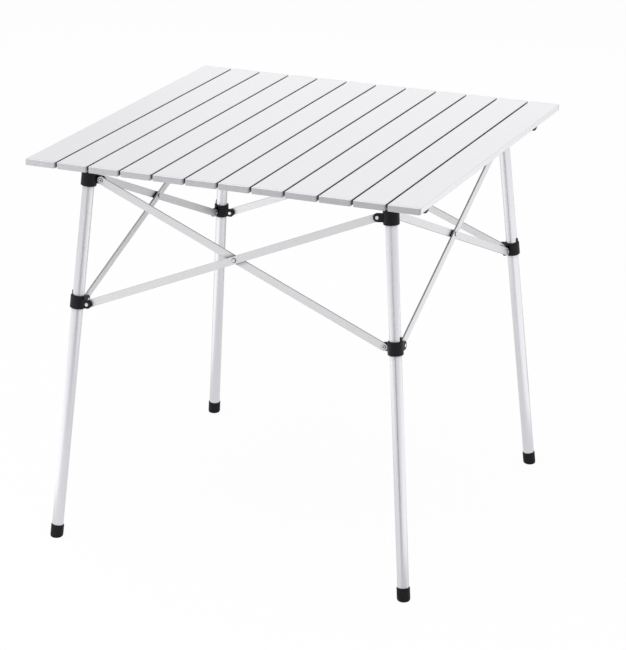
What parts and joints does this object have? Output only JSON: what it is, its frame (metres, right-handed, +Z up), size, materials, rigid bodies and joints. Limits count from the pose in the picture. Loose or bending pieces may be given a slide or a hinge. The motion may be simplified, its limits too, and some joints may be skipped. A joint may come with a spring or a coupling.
{
  "type": "roll top camp table",
  "caption": "Square slatted camp table whose top rolls up, on splayed tube legs that gather together on crossed folding bars and sliders.",
  "frame": {"origin": "on the ground, under the middle of the table top", "axes": "+Z up, the front looks along -Y, +X to the right seen from the front"},
  "size_m": [0.7, 0.7, 0.688],
  "materials": {
    "slat": "satin anodised, pale",
    "slat_end_plug": "moulded, mid grey",
    "rail_tube": "satin anodised",
    "leg_tube": "satin anodised",
    "bar": "satin anodised",
    "black_plastic": "moulded, fine grain",
    "foot_rubber": "moulded",
    "rivet": "plated"
  },
  "bodies": {
    "top_base": {"slat_01": "slat", "slat_end_plugs_01": "slat_end_plug", "cross_rails": "rail_tube", "rail_end_caps": "black_plastic", "rail_clips_01": "black_plastic"},
    "slat_02_body": {"slat_02": "slat", "slat_end_plugs_02": "slat_end_plug"},
    "slat_03_body": {"slat_03": "slat", "slat_end_plugs_03": "slat_end_plug"},
    "slat_04_body": {"slat_04": "slat", "slat_end_plugs_04": "slat_end_plug"},
    "slat_05_body": {"slat_05": "slat", "slat_end_plugs_05": "slat_end_plug"},
    "slat_06_body": {"slat_06": "slat", "slat_end_plugs_06": "slat_end_plug"},
    "slat_07_body": {"slat_07": "slat", "slat_end_plugs_07": "slat_end_plug"},
    "slat_08_body": {"slat_08": "slat", "slat_end_plugs_08": "slat_end_plug"},
    "slat_09_body": {"slat_09": "slat", "slat_end_plugs_09": "slat_end_plug"},
    "slat_10_body": {"slat_10": "slat", "slat_end_plugs_10": "slat_end_plug"},
    "slat_11_body": {"slat_11": "slat", "slat_end_plugs_11": "slat_end_plug"},
    "slat_12_body": {"slat_12": "slat", "slat_end_plugs_12": "slat_end_plug", "rail_clips_12": "black_plastic"},
    "leg_front_right": {"leg_tube_front_right": "leg_tube", "upper_hub_front_right": "black_plastic", "hub_rivets_front_right": "rivet", "foot_front_right": "foot_rubber"},
    "slider_front_right": {"slider_front_right": "black_plastic"},
    "front_inner_bar": {"inner_bar_front": "bar"},
    "front_outer_bar": {"outer_bar_front": "bar", "crossing_spacer_front": "black_plastic"},
    "leg_back_right": {"leg_tube_back_right": "leg_tube", "upper_hub_back_right": "black_plastic", "hub_rivets_back_right": "rivet", "foot_back_right": "foot_rubber"},
    "slider_back_right": {"slider_back_right": "black_plastic"},
    "right_inner_bar": {"inner_bar_right": "bar"},
    "right_outer_bar": {"outer_bar_right": "bar", "crossing_spacer_right": "black_plastic"},
    "leg_back_left": {"leg_tube_back_left": "leg_tube", "upper_hub_back_left": "black_plastic", "hub_rivets_back_left": "rivet", "foot_back_left": "foot_rubber"},
    "slider_back_left": {"slider_back_left": "black_plastic"},
    "back_inner_bar": {"inner_bar_back": "bar"},
    "back_outer_bar": {"outer_bar_back": "bar", "crossing_spacer_back": "black_plastic"},
    "leg_front_left": {"leg_tube_front_left": "leg_tube", "upper_hub_front_left": "black_plastic", "hub_rivets_front_left": "rivet", "foot_front_left": "foot_rubber"},
    "slider_front_left": {"slider_front_left": "black_plastic"},
    "left_inner_bar": {"inner_bar_left": "bar"},
    "left_outer_bar": {"outer_bar_left": "bar", "crossing_spacer_left": "black_plastic"}
  },
  "joints": [
    {"name": "frame_fold", "type": "hinge", "parent": "top_base", "child": "leg_front_left", "pos_m": [-0.151, -0.151, 3.63003], "axis": [0.7071, -0.7071, 0], "range_deg": [0, 6.56]},
    {"name": "front_inner_bar_turn", "type": "hinge", "parent": "leg_front_left", "child": "front_inner_bar", "pos_m": [-0.25107, -0.27214, 0.64129], "axis": [0, 0.9966, -0.0821], "range_deg": [0, 70.26]},
    {"name": "front_outer_bar_turn", "type": "hinge", "parent": "front_inner_bar", "child": "front_outer_bar", "pos_m": [0, -0.28068, 0.53766], "axis": [0, -0.9966, 0.0821], "range_deg": [0, 131.23]},
    {"name": "leg_front_right_turn", "type": "hinge", "parent": "front_outer_bar", "child": "leg_front_right", "pos_m": [0.25107, -0.27214, 0.64129], "axis": [0, 0.9966, -0.0821], "range_deg": [0, 70.26]},
    {"name": "left_outer_bar_turn", "type": "hinge", "parent": "leg_front_left", "child": "left_outer_bar", "pos_m": [-0.27214, -0.25107, 0.64129], "axis": [-0.9966, 0, 0.0821], "range_deg": [0, 70.26]},
    {"name": "left_inner_bar_turn", "type": "hinge", "parent": "left_outer_bar", "child": "left_inner_bar", "pos_m": [-0.28068, 0, 0.53766], "axis": [0.9966, 0, -0.0821], "range_deg": [0, 131.23]},
    {"name": "leg_back_left_turn", "type": "hinge", "parent": "left_inner_bar", "child": "leg_back_left", "pos_m": [-0.27214, 0.25107, 0.64129], "axis": [-0.9966, 0, 0.0821], "range_deg": [0, 70.26]},
    {"name": "right_inner_bar_turn", "type": "hinge", "parent": "leg_front_right", "child": "right_inner_bar", "pos_m": [0.27214, -0.25107, 0.64129], "axis": [-0.9966, 0, -0.0821], "range_deg": [0, 70.26]},
    {"name": "right_outer_bar_turn", "type": "hinge", "parent": "right_inner_bar", "child": "right_outer_bar", "pos_m": [0.28068, 0, 0.53766], "axis": [0.9966, 0, 0.0821], "range_deg": [0, 131.23]},
    {"name": "leg_back_right_turn", "type": "hinge", "parent": "right_outer_bar", "child": "leg_back_right", "pos_m": [0.27214, 0.25107, 0.64129], "axis": [-0.9966, 0, -0.0821], "range_deg": [0, 70.26]},
    {"name": "back_inner_bar_turn", "type": "hinge", "parent": "leg_back_right", "child": "back_inner_bar", "pos_m": [0.25107, 0.27214, 0.64129], "axis": [-0.0016, -0.9966, -0.0821], "range_deg": [0, 70.26]},
    {"name": "back_outer_bar_turn", "type": "hinge", "parent": "leg_back_left", "child": "back_outer_bar", "pos_m": [-0.25107, 0.27214, 0.64129], "axis": [-0.0019, 0.9966, 0.0821], "range_deg": [0, 70.26]},
    {"name": "slider_front_right_slide", "type": "slide", "parent": "leg_front_right", "child": "slider_front_right", "axis": [0.0819, -0.0819, -0.9933], "range_m": [0, 0.34653]},
    {"name": "slider_back_right_slide", "type": "slide", "parent": "leg_back_right", "child": "slider_back_right", "axis": [0.0819, 0.0819, -0.9933], "range_m": [0, 0.34653]},
    {"name": "slider_back_left_slide", "type": "slide", "parent": "leg_back_left", "child": "slider_back_left", "axis": [-0.0819, 0.0819, -0.9933], "range_m": [0, 0.34653]},
    {"name": "slider_front_left_slide", "type": "slide", "parent": "leg_front_left", "child": "slider_front_left", "axis": [-0.0819, -0.0819, -0.9933], "range_m": [0, 0.34653]},
    {"name": "top_roll", "type": "hinge", "parent": "top_base", "child": "slat_02_body", "pos_m": [-0.29313, 0, 0.688], "axis": [0, -1, 0], "range_deg": [0, 29.5]},
    {"name": "slat_03_roll", "type": "hinge", "parent": "slat_02_body", "child": "slat_03_body", "pos_m": [-0.2345, 0, 0.688], "axis": [0, -1, 0], "range_deg": [0, 29.52]},
    {"name": "slat_04_roll", "type": "hinge", "parent": "slat_03_body", "child": "slat_04_body", "pos_m": [-0.17588, 0, 0.688], "axis": [0, -1, 0], "range_deg": [0, 29.52]},
    {"name": "slat_05_roll", "type": "hinge", "parent": "slat_04_body", "child": "slat_05_body", "pos_m": [-0.11725, 0, 0.688], "axis": [0, -1, 0], "range_deg": [0, 29.52]},
    {"name": "slat_06_roll", "type": "hinge", "parent": "slat_05_body", "child": "slat_06_body", "pos_m": [-0.05862, 0, 0.688], "axis": [0, -1, 0], "range_deg": [0, 29.52]},
    {"name": "slat_07_roll", "type": "hinge", "parent": "slat_06_body", "child": "slat_07_body", "pos_m": [0, 0, 0.688], "axis": [0, -1, 0], "range_deg": [0, 29.52]},
    {"name": "slat_08_roll", "type": "hinge", "parent": "slat_07_body", "child": "slat_08_body", "pos_m": [0.05862, 0, 0.688], "axis": [0, -1, 0], "range_deg": [0, 29.52]},
    {"name": "slat_09_roll", "type": "hinge", "parent": "slat_08_body", "child": "slat_09_body", "pos_m": [0.11725, 0, 0.688], "axis": [0, -1, 0], "range_deg": [0, 29.52]},
    {"name": "slat_10_roll", "type": "hinge", "parent": "slat_09_body", "child": "slat_10_body", "pos_m": [0.17588, 0, 0.688], "axis": [0, -1, 0], "range_deg": [0, 29.52]},
    {"name": "slat_11_roll", "type": "hinge", "parent": "slat_10_body", "child": "slat_11_body", "pos_m": [0.2345, 0, 0.688], "axis": [0, -1, 0], "range_deg": [0, 29.52]},
    {"name": "slat_12_roll", "type": "hinge", "parent": "slat_11_body", "child": "slat_12_body", "pos_m": [0.29313, 0, 0.688], "axis": [0, -1, 0], "range_deg": [0, 29.52]}
  ],
  "couplings": [
    {"joint": "front_inner_bar_turn", "follows": "frame_fold", "ratio": 10.711},
    {"joint": "front_outer_bar_turn", "follows": "frame_fold", "ratio": 20.01},
    {"joint": "leg_front_right_turn", "follows": "frame_fold", "ratio": 10.711},
    {"joint": "left_outer_bar_turn", "follows": "frame_fold", "ratio": 10.711},
    {"joint": "left_inner_bar_turn", "follows": "frame_fold", "ratio": 20.01},
    {"joint": "leg_back_left_turn", "follows": "frame_fold", "ratio": 10.711},
    {"joint": "right_inner_bar_turn", "follows": "frame_fold", "ratio": 10.711},
    {"joint": "right_outer_bar_turn", "follows": "frame_fold", "ratio": 20.01},
    {"joint": "leg_back_right_turn", "follows": "frame_fold", "ratio": 10.711},
    {"joint": "back_inner_bar_turn", "follows": "frame_fold", "ratio": 10.711},
    {"joint": "back_outer_bar_turn", "follows": "frame_fold", "ratio": 10.711},
    {"joint": "slider_front_right_slide", "follows": "frame_fold", "m_per_rad": 3.026},
    {"joint": "slider_back_right_slide", "follows": "frame_fold", "m_per_rad": 3.026},
    {"joint": "slider_back_left_slide", "follows": "frame_fold", "m_per_rad": 3.026},
    {"joint": "slider_front_left_slide", "follows": "frame_fold", "m_per_rad": 3.026},
    {"joint": "slat_03_roll", "follows": "top_roll", "ratio": 1},
    {"joint": "slat_04_roll", "follows": "top_roll", "ratio": 1},
    {"joint": "slat_05_roll", "follows": "top_roll", "ratio": 1},
    {"joint": "slat_06_roll", "follows": "top_roll", "ratio": 1},
    {"joint": "slat_07_roll", "follows": "top_roll", "ratio": 1},
    {"joint": "slat_08_roll", "follows": "top_roll", "ratio": 1},
    {"joint": "slat_09_roll", "follows": "top_roll", "ratio": 1},
    {"joint": "slat_10_roll", "follows": "top_roll", "ratio": 1},
    {"joint": "slat_11_roll", "follows": "top_roll", "ratio": 1},
    {"joint": "slat_12_roll", "follows": "top_roll", "ratio": 1}
  ]
}
